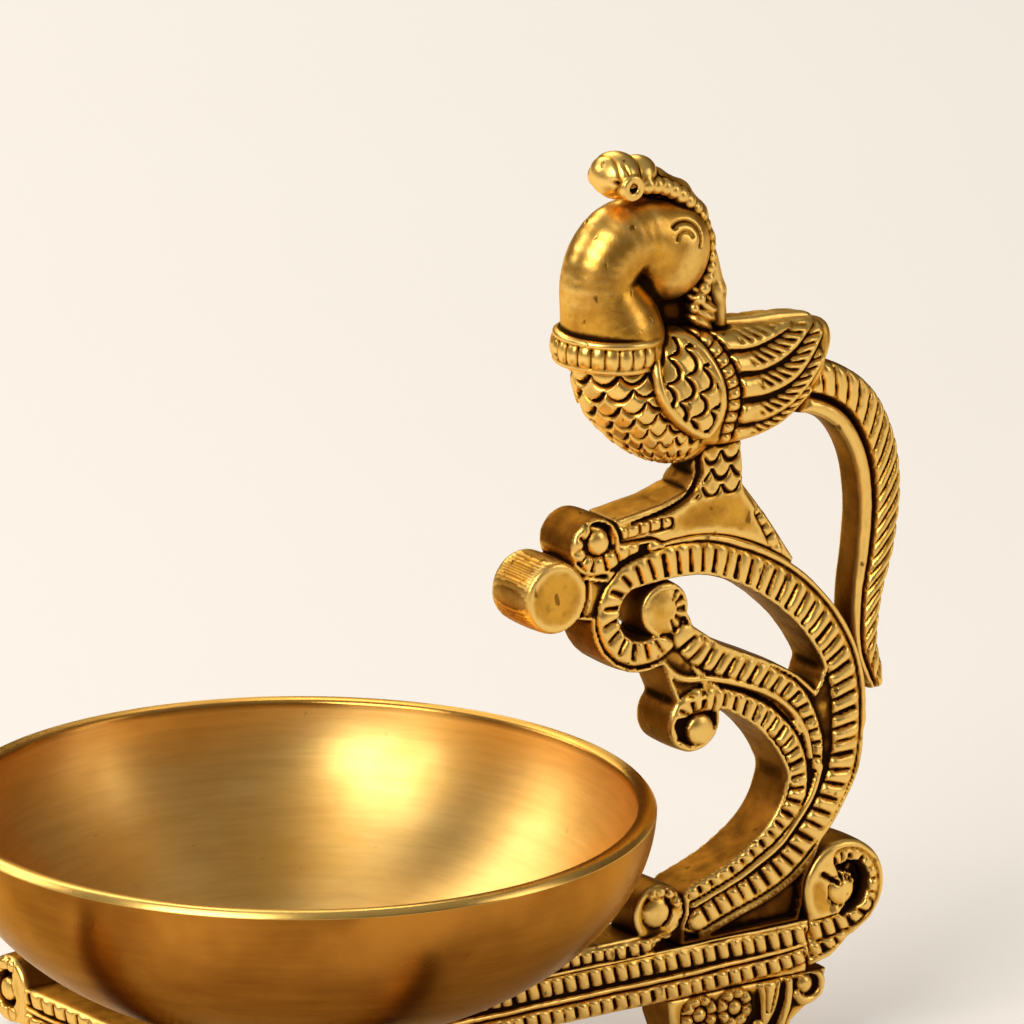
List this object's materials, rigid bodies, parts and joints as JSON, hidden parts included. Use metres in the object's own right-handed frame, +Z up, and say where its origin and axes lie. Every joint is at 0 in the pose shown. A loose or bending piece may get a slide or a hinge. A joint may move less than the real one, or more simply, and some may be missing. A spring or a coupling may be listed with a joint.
{
  "type": "diya oil lamp",
  "caption": "Brass oil lamp: a round lift-off bowl on a low cross base, with a scroll bracket at one end that carries a bird with a sweeping tail.",
  "frame": {"origin": "on the floor under the bowl's axis", "axes": "+X along the long beam towards the bird, +Y along the cross beam to the rear, +Z up"},
  "size_m": [0.221, 0.1568, 0.1522],
  "materials": {
    "turned_brass": "lathe-turned, satin inside and polished outside",
    "cast_brass": "cast, antique patina in the recesses and rubbed bright on the ridges",
    "steel": "plain machine screws and dowels"
  },
  "bodies": {
    "frame": {"bowl_seat": "cast_brass", "centre_screw": "steel", "centre_washer": "steel", "centre_nut": "steel", "long_beam": "cast_brass", "cross_beam": "cast_brass", "right_volute": "cast_brass", "left_volute": "cast_brass", "front_volute": "cast_brass", "rear_volute": "cast_brass", "right_foot": "cast_brass", "left_foot": "cast_brass", "front_foot": "cast_brass", "rear_foot": "cast_brass", "bracket": "cast_brass", "bracket_screws": "steel", "left_foot_screws": "steel", "bird": "cast_brass", "bird_pin": "steel", "tail": "cast_brass"},
    "bowl": {"oil_bowl": "turned_brass"}
  },
  "joints": [
    {"name": "bowl_lift", "type": "slide", "parent": "frame", "child": "bowl", "axis": [0, 0, 1], "range_m": [0, 0.012]}
  ]
}
